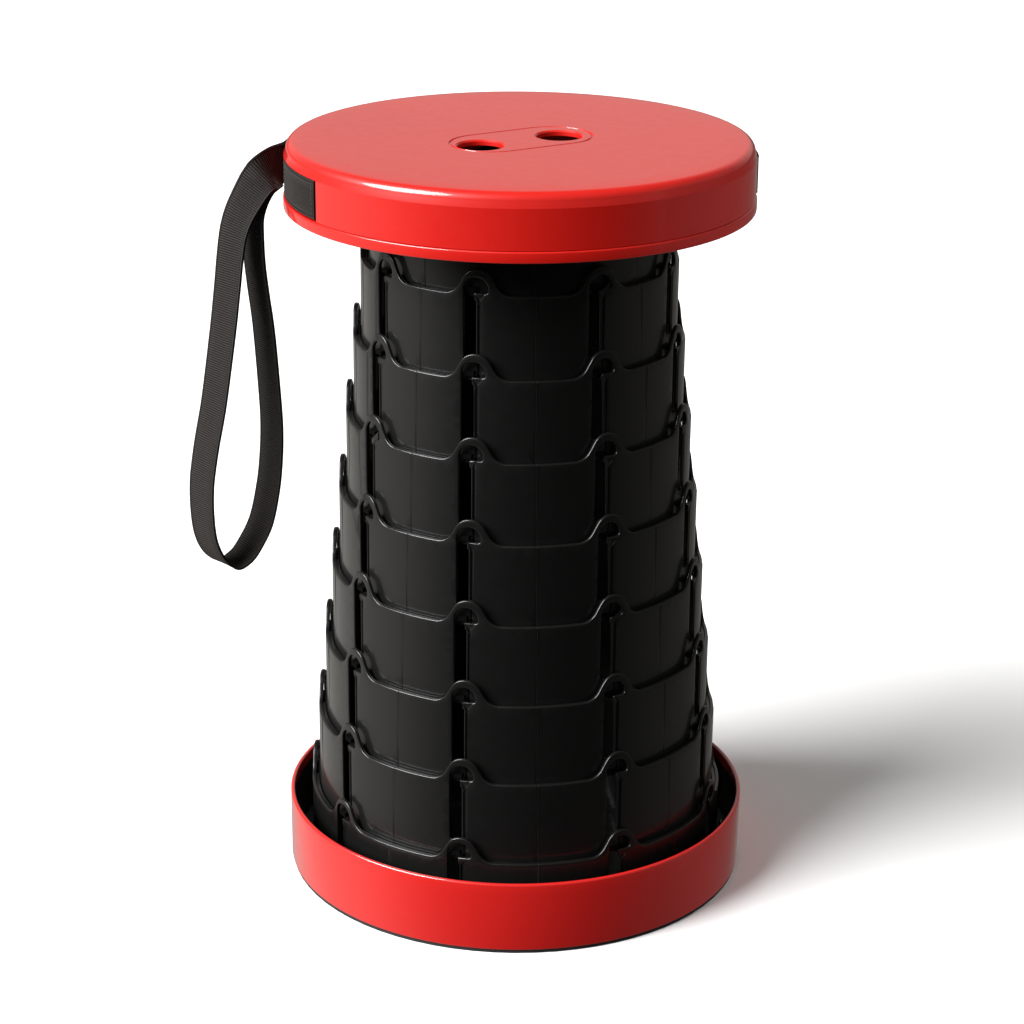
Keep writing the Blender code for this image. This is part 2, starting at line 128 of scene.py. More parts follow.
# Bayonet slot, measured round the ring from the dome's middle and down from its top
SLOT_LEFT = -7.4 * MM
SLOT_RIGHT = -0.5 * MM
POCKET_ROUND = 6.8 * MM
POCKET_TOP = 3.3 * MM
LEDGE = 12.1 * MM
NUB_OUT = 1.0 * MM
NUB_TALL = 4.0 * MM
NUB_CHAMFER = 0.3 * MM
NUB_SLOPE = 0.7 * MM
LEDGE_ROUND = 1.9 * MM

# A groove runs down beside the slot's channel
SEAM = (0.7 * MM, 1.9 * MM)
SEAM_SLOPE = 0.2 * MM
SEAM_DEEP = 0.7 * MM

# Below the channel a track inside the wall leaves room for the folded lug
TRACK_TOP = 11.6 * MM
TRACK_DEEP = 1.3 * MM
TRACK_SLOPE = 1.5 * MM
TRACK_CLEAR = 0.3 * MM

# A lip inside the wall under each valley, and the lug at each ring's foot, both sunk into the wall
SUNK = 0.4 * MM
LIP_REACH = 1.6 * MM
LIP_TALL = 1.4 * MM
LIP_BELOW = 0.7 * MM
LIP_CLEAR = 13.0 * MM
LUG_LOW = 3.1 * MM
LUG_TALL = 2.5 * MM
LUG_SIDES = (-7.0 * MM, -0.9 * MM)
LUG_ROUND = 1.2 * MM
LUG_REACH = 2.8 * MM

# Strap: ribbed webbing with smooth selvedges. RIB_STEPS cuts make one rib, and each cut's outline has
# two rows of WEBBING_POINTS.
STRAP_WIDE = 21.2 * MM
STRAP_THICK = 1.6 * MM
RIB_PITCH = 1.32 * MM
RIB_STEPS = 4
RIB_HIGH = 0.45 * MM
SELVEDGE = 1.3 * MM
EDGE_ROUND = 0.35 * MM
WEBBING_POINTS = 13
# The second finish, on grooves, slopes, side edges and cut ends, is a far darker copy of the crest
# colour: painted shade in the creases.
CREST, GROOVE_SHADE = 0, 1

# Stitches
STITCH_PITCH = 2.7 * MM
STITCH_LONG = 2.1 * MM
STITCH_INSET = 2.6 * MM
THREAD_ROUND = 0.28 * MM
THREAD_SIDES = 6
THREAD_PROUD = 0.02 * MM

# The strap's runs in the recess and the rear run's stitched frame, in degrees round from +X
REAR_RUN = (-1.5, 173)
REAR_PROUD = 0.9 * MM
END_RUN = (187, 213.2)
REAR_FRAME = (3.6, 14)

# The loop: the middle of its webbing, and how far its width is turned upright, in degrees
FRONT_LEG_TURN = math.radians(40)
BACK_LEG_TURN = math.radians(54)
LOOP_ROUTE = (
    (-0.1293, 0.0322, 0.4110, 90),
    (-0.1317, 0.0209, 0.4111, 90),
    (-0.1361, 0.0090, 0.4110, 74),
    (-0.1407, 0.0008, 0.4085, 62),
    (-0.1457, -0.0008, 0.4027, 48),
    (-0.1535, -0.0017, 0.3889, 26),
    (-0.1572, -0.0026, 0.3792, 14),
    (-0.1590, -0.0033, 0.3707, 6),
    (-0.1604, -0.0043, 0.3601, 2),
    (-0.1621, -0.0056, 0.3445, 0),
    (-0.1650, -0.0075, 0.3208, 0),
    (-0.1707, -0.0107, 0.2811, 0),
    (-0.1749, -0.0122, 0.2590, 0),
    (-0.1774, -0.0130, 0.2440, 0),
    (-0.1789, -0.0134, 0.2312, 0),
    (-0.1791, -0.0133, 0.2152, 0),
    (-0.1776, -0.0125, 0.2000, 0),
    (-0.1732, -0.0106, 0.1887, 0),
    (-0.1661, -0.0073, 0.1822, 0),
    (-0.1595, -0.0034, 0.1844, 0),
    (-0.1542, 0.0000, 0.1908, 0),
    (-0.1475, 0.0042, 0.2043, 0),
    (-0.1432, 0.0063, 0.2240, 0),
    (-0.1412, 0.0071, 0.2411, 0),
    (-0.1404, 0.0073, 0.2576, 0),
    (-0.1408, 0.0073, 0.2755, 0),
    (-0.1433, 0.0065, 0.3168, 0),
    (-0.1459, 0.0057, 0.3414, 0),
    (-0.1474, 0.0050, 0.3578, 2),
    (-0.1478, 0.0043, 0.3739, 6),
    (-0.1471, 0.0032, 0.3879, 18),
    (-0.1431, 0.0034, 0.4013, 48),
    (-0.1385, 0.0042, 0.4079, 62),
    (-0.1343, 0.0116, 0.4110, 74),
    (-0.1292, 0.0205, 0.4111, 90),
    (-0.1269, 0.0316, 0.4110, 90),
)


# ---------------------------------------------------------------- camera and light


def add_camera():
    """Stands the camera that the picture is taken from."""
    data = bpy.data.cameras.new("camera")
    data.lens = CAMERA_LENS
    data.sensor_width = SENSOR_WIDE
    data.clip_start = 0.01
    made = bpy.data.objects.new("camera", data)
    turn = Matrix.Rotation(math.radians(-CAMERA_PAN), 4, "Z")
    tilt = Matrix.Rotation(math.radians(90 - CAMERA_DOWN), 4, "X")
    roll = Matrix.Rotation(math.radians(CAMERA_ROLL), 4, "Z")
    made.matrix_world = Matrix.Translation(CAMERA_AT) @ turn @ tilt @ roll
    bpy.context.scene.collection.objects.link(made)
    bpy.context.scene.camera = made


def add_lamp(name, across, up, spread_angle, light):
    """A soft light, far off in a direction."""
    data = bpy.data.lights.new(name, "SUN")
    data.energy = light
    data.angle = math.radians(spread_angle)
    made = bpy.data.objects.new(name, data)
    across, up = math.radians(across), math.radians(up)
    toward = Vector((math.cos(across) * math.cos(up), math.sin(across) * math.cos(up), math.sin(up)))
    made.rotation_euler = toward.to_track_quat("Z", "Y").to_euler()
    bpy.context.scene.collection.objects.link(made)
    return made


def add_sky():
    """A dim room, a bright backdrop that the seat's top mirrors, and light thrown up from below."""
    world = bpy.data.worlds.new("studio")
    world.use_nodes = True
    nodes, links = world.node_tree.nodes, world.node_tree.links
    place = nodes.new("ShaderNodeTexCoord")
    split = nodes.new("ShaderNodeSeparateXYZ")
    links.new(place.outputs["Generated"], split.inputs["Vector"])

    def fade(axis, span, low, high):
        made = nodes.new("ShaderNodeMapRange")
        made.interpolation_type = "SMOOTHSTEP"
        values = {"From Min": span[0], "From Max": span[1], "To Min": low, "To Max": high}
        for socket, value in values.items():
            made.inputs[socket].default_value = value
        links.new(split.outputs[axis], made.inputs["Value"])
        return made.outputs["Result"]

    def combine(operation, first, second):
        made = nodes.new("ShaderNodeMath")
        made.operation = operation
        links.new(first, made.inputs[0])
        links.new(second, made.inputs[1])
        return made.outputs["Value"]

    behind = fade("Y", BACKDROP_BEHIND, 0, BACKDROP_LIGHT)
    backdrop = combine("MULTIPLY", behind, fade("Z", BACKDROP_ABOVE, 0, 1))
    bounce = combine("MULTIPLY", fade("Y", BOUNCE_FRONT, 0, FLOOR_BOUNCE), fade("Z", BOUNCE_BELOW, 1, 0))
    bounce = combine("MULTIPLY", bounce, fade("X", BOUNCE_SIDE, 1, BOUNCE_SIDE_LEAST))
    around = combine("ADD", bounce, fade("Z", ROOM_ABOVE, 0, ROOM_LIGHT))
    nodes["Background"].inputs["Color"].default_value = WARM_WHITE
    links.new(combine("ADD", backdrop, around), nodes["Background"].inputs["Strength"])
    bpy.context.scene.world = world


def add_studio():
    """The lamps, the sky and a plain pale floor, which mirrors and bounce light do without."""
    add_lamp("key", KEY_FROM, KEY_HIGH, KEY_SPREAD, KEY_LIGHT)
    fill = add_lamp("fill", FILL_FROM, FILL_HIGH, FILL_SPREAD, FILL_LIGHT)
    fill.visible_glossy = False
    add_sky()
    bpy.context.scene.view_settings.view_transform = "Standard"
    work = bmesh.new()
    bmesh.ops.create_grid(work, x_segments=2, y_segments=2, size=6)
    floor = mesh_object("floor", work, floor_material())
    floor.visible_glossy = False
    floor.visible_diffuse = False


# ---------------------------------------------------------------- materials


def new_material(name):
    """A material, with its nodes, its links and its shader."""
    made = bpy.data.materials.new(name)
    made.use_nodes = True
    nodes, links = made.node_tree.nodes, made.node_tree.links
    return made, nodes, links, nodes["Principled BSDF"]


def noise(nodes, links, scale, detail=4.0):
    """Noise in the piece's own space."""
    texture = nodes.new("ShaderNodeTexNoise")
    texture.inputs["Scale"].default_value = scale
    texture.inputs["Detail"].default_value = detail
    place = nodes.new("ShaderNodeTexCoord")
    links.new(place.outputs["Object"], texture.inputs["Vector"])
    return texture.outputs["Fac"]


def ramp(nodes, links, source, low, high, start=0.3, end=0.7):
    """A colour between low and high, as source goes from start to end."""
    made = nodes.new("ShaderNodeValToRGB")
    made.color_ramp.elements[0].position = start
    made.color_ramp.elements[1].position = end
    made.color_ramp.elements[0].color = (*low, 1)
    made.color_ramp.elements[1].color = (*high, 1)
    links.new(source, made.inputs["Fac"])
    return made.outputs["Color"]


def spread(nodes, links, source, low, high):
    """A value between low and high that follows a noise."""
    made = nodes.new("ShaderNodeMapRange")
    made.inputs["From Min"].default_value = 0.3
    made.inputs["From Max"].default_value = 0.7
    made.inputs["To Min"].default_value = low
    made.inputs["To Max"].default_value = high
    links.new(source, made.inputs["Value"])
    return made.outputs["Result"]


def bump(nodes, links, shader, source, strength, distance):
    """Raises the shader's surface by a noise, at most by a distance."""
    made = nodes.new("ShaderNodeBump")
    made.inputs["Strength"].default_value = strength
    made.inputs["Distance"].default_value = distance
    links.new(source, made.inputs["Height"])
    links.new(made.outputs["Normal"], shader.inputs["Normal"])


def floor_material():
    """A plain matt floor, almost white."""
    made, nodes, links, shader = new_material("floor_white")
    grain = noise(nodes, links, 3)
    colour = ramp(nodes, links, grain, (0.93, 0.93, 0.93), (0.95, 0.95, 0.95))
    links.new(colour, shader.inputs["Base Color"])
    shader.inputs["Roughness"].default_value = 0.9
    shader.inputs["Specular IOR Level"].default_value = 0.0
    shader.inputs["Emission Color"].default_value = (1, 1, 1, 1)
    shader.inputs["Emission Strength"].default_value = FLOOR_GLOW
    return made


def moulded(name, colour, roughness, grain_scale=900.0, grain=0.15, coat=0.0, shine=0.5):
    """Moulded plastic: a slow drift of colour, a fine moulded grain, and wear that varies its gloss."""
    made, nodes, links, shader = new_material(name)
    drift = noise(nodes, links, 9)
    low = tuple(c * 0.97 for c in colour)
    high = tuple(min(c * 1.03, 1) for c in colour)
    links.new(ramp(nodes, links, drift, low, high), shader.inputs["Base Color"])
    wear = noise(nodes, links, 160, 6)
    links.new(spread(nodes, links, wear, roughness * 0.95, roughness * 1.06), shader.inputs["Roughness"])
    bump(nodes, links, shader, noise(nodes, links, grain_scale, 2), grain, 0.00005)
    shader.inputs["Specular IOR Level"].default_value = shine
    shader.inputs["Coat Weight"].default_value = coat
    shader.inputs["Coat Roughness"].default_value = 0.08
    return made


def webbing_material(name, dark, light):
    """Woven polyester: dull, with flecks of lighter thread."""
    made, nodes, links, shader = new_material(name)
    flecks = noise(nodes, links, 1400, 3)
    links.new(ramp(nodes, links, flecks, dark, light, 0.35, 0.65), shader.inputs["Base Color"])
    shader.inputs["Roughness"].default_value = 0.78
    shader.inputs["Specular IOR Level"].default_value = 0.2
    bump(nodes, links, shader, noise(nodes, links, 2600, 2), 0.5, 0.0001)
    return made


def metal_material():
    """Zinc-plated steel with faint stains."""
    made, nodes, links, shader = new_material("zinc_steel")
    stain = noise(nodes, links, 300, 5)
    colour = ramp(nodes, links, stain, (0.42, 0.43, 0.45), (0.62, 0.62, 0.60))
    links.new(colour, shader.inputs["Base Color"])
    links.new(spread(nodes, links, stain, 0.25, 0.45), shader.inputs["Roughness"])
    shader.inputs["Metallic"].default_value = 1.0
    bump(nodes, links, shader, noise(nodes, links, 2500, 2), 0.2, 0.00005)
    return made


# ---------------------------------------------------------------- mesh helpers


def mesh_object(name, work, finish, smooth_under=38.0):
    """Makes an object of a bmesh, sharp at edges steeper than an angle."""
    bmesh.ops.recalc_face_normals(work, faces=work.faces)
    mesh = bpy.data.meshes.new(name)
    work.to_mesh(mesh)
    work.free()
    mesh.shade_smooth()
    mesh.set_sharp_from_angle(angle=math.radians(smooth_under))
    made = bpy.data.objects.new(name, mesh)
    mesh.materials.append(finish)
    bpy.context.scene.collection.objects.link(made)
    return made


def on_circle(radius, angle, z):
    return Vector((radius * math.cos(angle), radius * math.sin(angle), z))


def arc(centre, radius, first, last, count):
    """Points of an arc in a plane, between two angles in degrees."""
    turns = [math.radians(first + (last - first) * i / (count - 1)) for i in range(count)]
    return [(centre[0] + radius * math.cos(a), centre[1] + radius * math.sin(a)) for a in turns]


def revolve(work, profile_at, angles, closed=True):
    """Carries a profile of (radius, z) points round the axis; returns its loops of vertices."""
    loops = [[work.verts.new(on_circle(r, a, z)) for r, z in profile_at(a)] for a in angles]
    count = len(loops[0])
    for i, here in enumerate(loops):
        there = loops[(i + 1) % len(loops)]
        for j in range(count if closed else count - 1):
            after = (j + 1) % count
            work.faces.new((here[j], there[j], there[after], here[after]))
    return loops


def even_turns(count):
    """Angles once round a circle."""
    return [2 * math.pi * i / count for i in range(count)]


def inside(point, outline):
    """Whether a point lies in a closed outline."""
    x, y = point
    found = False
    for (ax, ay), (bx, by) in zip(outline, outline[1:] + outline[:1]):
        if (ay > y) != (by > y) and x < (bx - ax) * (y - ay) / (by - ay) + ax:
            found = not found
    return found


def even_steps(start, end, step):
    """Evenly spaced values from start to end, about a step apart."""
    count = max(1, round((end - start) / step))
    return [start + (end - start) * i / count for i in range(count + 1)]


def fill_plane(outline, holes=(), lines=(), step=(4 * MM, 7 * MM), clear=1.5 * MM):
    """Fills an outline with holes, keeping lines as edges. Returns points and triangles."""
    points, edges = [], []

    def chain(row, loop):
        first = len(points)
        points.extend(row)
        edges.extend((first + i, first + i + 1) for i in range(len(row) - 1))
        if loop:
            edges.append((len(points) - 1, first))

    chain(outline, True)
    for hole in holes:
        chain(hole, True)
    for line in lines:
        chain(line, False)
    fixed = list(points)
    left, right = min(p[0] for p in outline), max(p[0] for p in outline)
    low, high = min(p[1] for p in outline), max(p[1] for p in outline)
    for i, x in enumerate(even_steps(left, right, step[0])[1:-1]):
        for y in even_steps(low, high, step[1])[1:-1]:
            spot = (x, y + (i % 2) * step[1] / 2)
            far = all(abs(spot[0] - a) + abs(spot[1] - b) > clear for a, b in fixed)
            if far and inside(spot, outline) and not any(inside(spot, hole) for hole in holes):
                points.append(spot)
    made = delaunay_2d_cdt([Vector(p) for p in points], edges, [], 0, 1e-7)
    flat = [tuple(v) for v in made[0]]
    triangles = []
    for corners in made[2]:
        middle = (sum(flat[c][0] for c in corners) / 3, sum(flat[c][1] for c in corners) / 3)
        if inside(middle, outline) and not any(inside(middle, hole) for hole in holes):
            triangles.append(tuple(corners))
    return flat, triangles


def round_edges(work, edges, width, segments=3):
    """Rounds edges, then pulls back onto the surface the points that a tight corner throws off it."""
    before = BVHTree.FromBMesh(work)
    bmesh.ops.bevel(
        work,
        geom=edges,
        offset=width,
        segments=segments,
        profile=0.5,
        affect="EDGES",
        clamp_overlap=False,
    )
    for vert in work.verts:
        nearest, _, _, distance = before.find_nearest(vert.co)
        if distance > width / 2:
            vert.co = nearest


# ---------------------------------------------------------------- rings


def scallop_drop(along):
    """How far the top edge lies below the dome, at a distance round the ring from its middle."""
    side = abs(along)
    dome_side = DOME_ROUND * math.sin(FLANK_LEAN)
    dome_drop = DOME_ROUND * (1 - math.cos(FLANK_LEAN))
    flank_drop = VALLEY_DEEP - dome_drop - VALLEY_ROUND * (1 - math.cos(FLANK_LEAN))
    flank_side = dome_side + flank_drop / math.tan(FLANK_LEAN)
    valley_side = flank_side + VALLEY_ROUND * math.sin(FLANK_LEAN)
    if side < dome_side:
        return DOME_ROUND - math.sqrt(DOME_ROUND**2 - side**2)
    if side < flank_side:
        return dome_drop + (side - dome_side) * math.tan(FLANK_LEAN)
    if side < valley_side:
        return VALLEY_DEEP - VALLEY_ROUND + math.sqrt(VALLEY_ROUND**2 - (valley_side - side) ** 2)
    return VALLEY_DEEP


def slot_outline(top, low):
    """The bayonet slot: a straight channel, a round-topped pocket to its right, a ledge and its nub."""
    centre = (SLOT_LEFT + POCKET_ROUND, top - POCKET_TOP - POCKET_ROUND)
    ledge = top - LEDGE
    nub = SLOT_RIGHT - NUB_OUT
    foot = ledge - NUB_TALL - NUB_CHAMFER
    corner = (centre[0] + POCKET_ROUND - LEDGE_ROUND, ledge + LEDGE_ROUND)
    outline = [(SLOT_LEFT, z) for z in even_steps(low + TRACK_TOP, centre[1], SLOT_MESH_UP)]
    outline += arc(centre, POCKET_ROUND, 180, 0, 17)[1:]
    outline += arc(corner, LEDGE_ROUND, 0, -90, 6)
    outline += [(nub + NUB_CHAMFER, ledge), (nub, ledge - NUB_CHAMFER)]
    outline += [(nub, ledge - NUB_TALL + NUB_SLOPE), (SLOT_RIGHT, foot)]
    outline += [(SLOT_RIGHT, z) for z in even_steps(foot, low + TRACK_TOP, SLOT_MESH_UP)[1:]]
    return outline


def panel_relief(along, z, ends, top):
    """How far the outer skin stands out: a groove beside the channel and a fine mould line mid panel."""
    in_seam = SEAM[0] + 0.75 * SEAM_SLOPE < along < SEAM[1] - 0.75 * SEAM_SLOPE
    if z < top - LEDGE - NUB_TALL and in_seam:
        return -SEAM_DEEP
    if abs(ends[1] - MOULD_LINE - along) < MOULD_WIDE / 4:
        return -MOULD_DEEP
    return 0.0


def track_relief(along, z, low):
    """How far the inner skin is cut back below the channel, where the folded lug rests."""
    if z > low + TRACK_TOP + 0.01 * MM:
        return 0.0
    from_left = (along - (SLOT_LEFT - TRACK_CLEAR - TRACK_SLOPE)) / TRACK_SLOPE
    from_right = ((SLOT_RIGHT + TRACK_CLEAR + TRACK_SLOPE) - along) / TRACK_SLOPE
    return TRACK_DEEP * min(max(min(from_left, from_right), 0.0), 1.0)


def sector_plate(ends, top, low, rise, with_slot):
    """One sector of a ring, unrolled, from mid panel to mid panel: points and triangles."""
    left, right = ends
    line = [right - MOULD_LINE + shift for shift in (-MOULD_WIDE / 2, 0, MOULD_WIDE / 2)]
    marks = even_steps(left, right, MESH_ROUND)
    marks = [s for s in marks if min(abs(s - mark) for mark in line) > 0.75 * MOULD_WIDE]
    marks = sorted(marks + line)
    sides = even_steps(low, top - VALLEY_DEEP, MESH_UP)[1:-1]
    outline = [(s, low) for s in marks]
    outline += [(right, z) for z in sides]
    outline += [(s, top + rise - scallop_drop(s)) for s in reversed(marks)]
    outline += [(left, z) for z in reversed(sides)]
    lines = [[(s, low), (s, top - VALLEY_DEEP)] for s in line]
    holes = []
    if with_slot:
        holes = [slot_outline(top, low)]
        groove_top = top - LEDGE - NUB_TALL - SEAM_SLOPE
        for s in (SEAM[0], SEAM[0] + SEAM_SLOPE, SEAM[1] - SEAM_SLOPE, SEAM[1]):
            lines.append([(s, low), (s, groove_top)])
        from_left, from_right = SLOT_LEFT - TRACK_CLEAR, SLOT_RIGHT + TRACK_CLEAR
        for s in (from_left, from_right, from_left - TRACK_SLOPE, from_right + TRACK_SLOPE):
            lines.append([(s, low), (s, low + TRACK_TOP)])
    return fill_plane(outline, holes, lines)


def add_plate(work, flat, triangles, radius, low, top, offset_angle, ends, with_slot):
    """Bends a plate's triangles into a sector's outer and inner skins and its edge walls."""
    outer, inner = [], []
    for along, z in flat:
        angle = offset_angle + along / radius
        out = panel_relief(along, z, ends, top)
        outer.append(work.verts.new(on_circle(radius + out, angle, z)))
        track = track_relief(along, z, low) if with_slot else 0.0
        inner.append(work.verts.new(on_circle(radius - RING_WALL + track, angle, z)))
    sides = {}
    for a, b, c in triangles:
        work.faces.new((outer[a], outer[b], outer[c]))
        work.faces.new((inner[c], inner[b], inner[a]))
        for edge in ((a, b), (b, c), (c, a)):
            sides[edge] = True
    for a, b in sides:
        at_join = any(all(abs(flat[i][0] - end) < 1e-6 for i in (a, b)) for end in ends)
        if (b, a) not in sides and not at_join:
            work.faces.new((outer[b], outer[a], inner[a], inner[b]))


def add_lug(work, radius, outer_radius, low, dome_angle):
    """A lug on the ring's outside at its foot, its top corner rounded to clear the slot's arch; its faces
    take the darker lug finish, painted shade.
    """
    left, right = LUG_SIDES
    high = low + LUG_LOW + LUG_TALL
    outline = [(left, low + LUG_LOW), (right, low + LUG_LOW), (right, high)]
    outline += arc((left + LUG_ROUND, high - LUG_ROUND), LUG_ROUND, 90, 180, 7)
    turned = [(dome_angle + s / outer_radius, z) for s, z in outline]
    skins = []
    for reach in (-SUNK, LUG_REACH):
        skins.append([work.verts.new(on_circle(radius + reach, angle, z)) for angle, z in turned])
    made = [work.faces.new(skins[1]), work.faces.new(list(reversed(skins[0])))]
    for i in range(len(outline)):
        after = (i + 1) % len(outline)
        made.append(work.faces.new((skins[0][i], skins[0][after], skins[1][after], skins[1][i])))
    # The lug's faces take the second finish, its painted shade.
    for face in made:
        face.material_index = 1


def add_lip(work, radius, high, start, end):
    """A lip inside the wall under a valley, which shades the gap to the next ring."""
    out, reach = radius - RING_WALL + SUNK, radius - RING_WALL - LIP_REACH
    section = [(reach, high - LIP_TALL), (out, high - LIP_TALL), (out, high), (reach, high)]
    loops = []
    for angle in even_steps(start, end, math.radians(2)):
        loops.append([work.verts.new(on_circle(r, angle, z)) for r, z in section])
    for here, there in zip(loops, loops[1:]):
        for j in range(4):
            after = (j + 1) % 4
            work.faces.new((here[j], there[j], there[after], here[after]))
    work.faces.new(loops[0])
    work.faces.new(list(reversed(loops[-1])))


def steep_edges(work, angle=50.0):
    """The edges whose two faces meet at more than an angle in degrees."""
    limit = math.radians(angle)
    return [e for e in work.edges if len(e.link_faces) == 2 and e.calc_face_angle() > limit]


def make_ring(number, finish, lug_shade_finish):
    """A telescoping ring: sectors round its domes, then its lips, lugs and flange."""
    node = f"ring_{number}"
    low, high = (corner.z for corner in map(Vector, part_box(node)))
    radius = ring_radius(number)
    with_slot = number > 1
    rise = RIM_RISE if 1 < number < RINGS else 0.0
    plates = {}
    work = bmesh.new()
    previous = DOME_DEGREES[-1:] + DOME_DEGREES
    following = DOME_DEGREES[1:] + DOME_DEGREES[:1]
    for before, dome, after in zip(previous, DOME_DEGREES, following):
        halves = round((before - dome) % -360 / 2, 3), round((after - dome) % 360 / 2, 3)
        ends = tuple(math.radians(half) * radius for half in halves)
        if halves not in plates:
            plates[halves] = sector_plate(ends, high, low, rise, with_slot)
        add_plate(work, *plates[halves], radius, low, high, math.radians(dome), ends, with_slot)
    bmesh.ops.remove_doubles(work, verts=work.verts, dist=2e-6)
    bmesh.ops.recalc_face_normals(work, faces=work.faces)
    rims = [e for e in steep_edges(work) if max(v.co.z for v in e.verts) > low + 1e-5]
    round_edges(work, rims, RIM_ROUND)
    if number > 1:
        for dome, after in zip(DOME_DEGREES, DOME_DEGREES[1:] + (DOME_DEGREES[0] + 360,)):
            clear = LIP_CLEAR / radius
            lip_high = high + rise - VALLEY_DEEP - LIP_BELOW
            add_lip(work, radius, lip_high, math.radians(dome) + clear, math.radians(after) - clear)
    if number < RINGS:
        for dome in DOME_DEGREES:
            add_lug(work, radius, ring_radius(number + 1), low, math.radians(dome))
    if number == 1:
        add_annulus(work, SEAT_FLANGE_INNER, radius - FLANGE_OVERLAP, high - FLANGE_THICK, high)
    if number == RINGS:
        add_annulus(work, radius - FLANGE_OVERLAP, BASE_FLANGE_OUTER, low, low + FLANGE_THICK)
    ring = mesh_object(f"tube_ring_{number}", work, finish)
    ring.data.materials.append(lug_shade_finish)
    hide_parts(node)
    return ring


def add_annulus(work, inner, outer, low, high):
    """A flat ring, as the flanges that the screws go through."""
    section = [(inner, low), (outer, low), (outer, high), (inner, high)]
    revolve(work, lambda angle: section, even_turns(FLANGE_SIDES))


def ring_radius(number):
    """A ring's outer radius. Rings step outwards evenly from the innermost."""
    return INNERMOST_RADIUS + RING_STEP * (number - 1)


# ---------------------------------------------------------------- seat


SEAT_RADIUS = 129.4 * MM
SEAT_EDGE = 5.0 * MM
SEAT_SHOULDER = 1.1 * MM
SKIRT_WALL = 3.6 * MM
PANEL_THICK = 3.0 * MM
RECESS_DEEP = 1.9 * MM
RECESS = (math.radians(1.5), math.radians(214))
FINGER_HOLES = ((-21.7 * MM, -19.5 * MM), (21.2 * MM, 5.7 * MM))
FINGER_RADIUS = 12.7 * MM
HOLE_BEVEL = 0.9 * MM
HOLE_SIDES = 40
SEAT_SIDES = 180

# The racetrack groove round the finger holes
RACE_ROUND = 22.0 * MM
RACE_INSET = (6.2 * MM, 4.4 * MM)
RACE_BACK = 2.2 * MM
RACE_WIDE = 1.6 * MM
RACE_DEEP = 0.7 * MM
RACE_SLOPE = 0.25 * MM

# The band's ledge, the gap the skirt keeps above it, and the strap's recess above that
BAND_HIGH = 399.8 * MM
BAND_GAP = 0.3 * MM
RECESS_LOW = BAND_HIGH + 0.6 * MM
RECESS_HIGH = BAND_HIGH + 22.4 * MM
RECESS_SLOPE = 0.2 * MM

# The band rises behind the skirt as a tongue, and its edges are rounded
TONGUE_SET_IN = 1.9 * MM
TONGUE_WIDE = 1.6 * MM
TONGUE_CHAMFER = 0.3 * MM
BAND_FOOT_ROUND = 0.7 * MM
BAND_LEDGE_ROUND = 0.9 * MM
BAND_INNER_CHAMFER = 0.4 * MM


def stadium(radius, count=20):
    """A racetrack round both finger holes."""
    first, second = (Vector(centre) for centre in FINGER_HOLES)
    heading = math.degrees(math.atan2(*(second - first).yx))
    ahead = (second - first).normalized()
    back = Vector((0, RACE_BACK))
    first, second = first + ahead * RACE_INSET[0] + back, second - ahead * RACE_INSET[1] + back
    near = arc(second, radius, heading - 90, heading + 90, count)
    return near + arc(first, radius, heading + 90, heading + 270, count)


def circle(centre, radius, count):
    turns = even_turns(count)
    return [(centre[0] + radius * math.cos(a), centre[1] + radius * math.sin(a)) for a in turns]


def add_seat_top(work, rim, top):
    """The flat top inside the rim circle, with the racetrack groove and the bevelled finger holes."""
    rims = [circle(centre, FINGER_RADIUS + HOLE_BEVEL, HOLE_SIDES) for centre in FINGER_HOLES]
    walls = [circle(centre, FINGER_RADIUS, HOLE_SIDES) for centre in FINGER_HOLES]
    outer, inner = RACE_ROUND + RACE_WIDE / 2, RACE_ROUND - RACE_WIDE / 2
    tracks = [stadium(radius) for radius in (outer, outer - RACE_SLOPE, inner + RACE_SLOPE, inner)]
    lines = [track + track[:1] for track in tracks] + [row + row[:1] for row in rims]
    flat, triangles = fill_plane(rim, walls, lines, (14 * MM, 14 * MM), 5 * MM)
    within, beyond = stadium(outer - RACE_SLOPE / 2), stadium(inner + RACE_SLOPE / 2)
    verts = []
    for x, y in flat:
        drop = RACE_DEEP if inside((x, y), within) and not inside((x, y), beyond) else 0.0
        for centre in FINGER_HOLES:
            if math.dist((x, y), centre) < FINGER_RADIUS + HOLE_BEVEL / 2:
                drop = HOLE_BEVEL
        verts.append(work.verts.new((x, y, top - drop)))
    for corners in triangles:
        work.faces.new([verts[c] for c in corners])


def add_finger_walls(work, top, bottom):
    """The walls of the finger holes, from their bevel down."""
    for centre in FINGER_HOLES:
        loops = []
        for z in (top - HOLE_BEVEL, bottom):
            rim = circle(centre, FINGER_RADIUS, HOLE_SIDES)
            loops.append([work.verts.new((x, y, z)) for x, y in rim])
        for i in range(HOLE_SIDES):
            after = (i + 1) % HOLE_SIDES
            work.faces.new((loops[0][i], loops[1][i], loops[1][after], loops[0][after]))


def seat_section(top):
    """The cap's section from the flat top's rim, over the edge, down the skirt and up inside."""
    def at(angle):
        deep = RECESS_DEEP if RECESS[0] <= angle % (2 * math.pi) <= RECESS[1] else 0.0
        inner = SEAT_RADIUS - SKIRT_WALL
        edge = arc((SEAT_RADIUS - SEAT_SHOULDER - SEAT_EDGE, top - SEAT_EDGE), SEAT_EDGE, 90, 0, 9)
        skirt = [
            (SEAT_RADIUS, RECESS_HIGH),
            (SEAT_RADIUS - deep, RECESS_HIGH - RECESS_SLOPE),
            (SEAT_RADIUS - deep, RECESS_LOW),
        ]
        foot = [(SEAT_RADIUS - deep, BAND_HIGH + BAND_GAP), (inner, BAND_HIGH + BAND_GAP)]
        corner = [(inner, top - PANEL_THICK - 2 * MM), (inner - 2 * MM, top - PANEL_THICK)]
        return edge + skirt + foot + corner
    return at


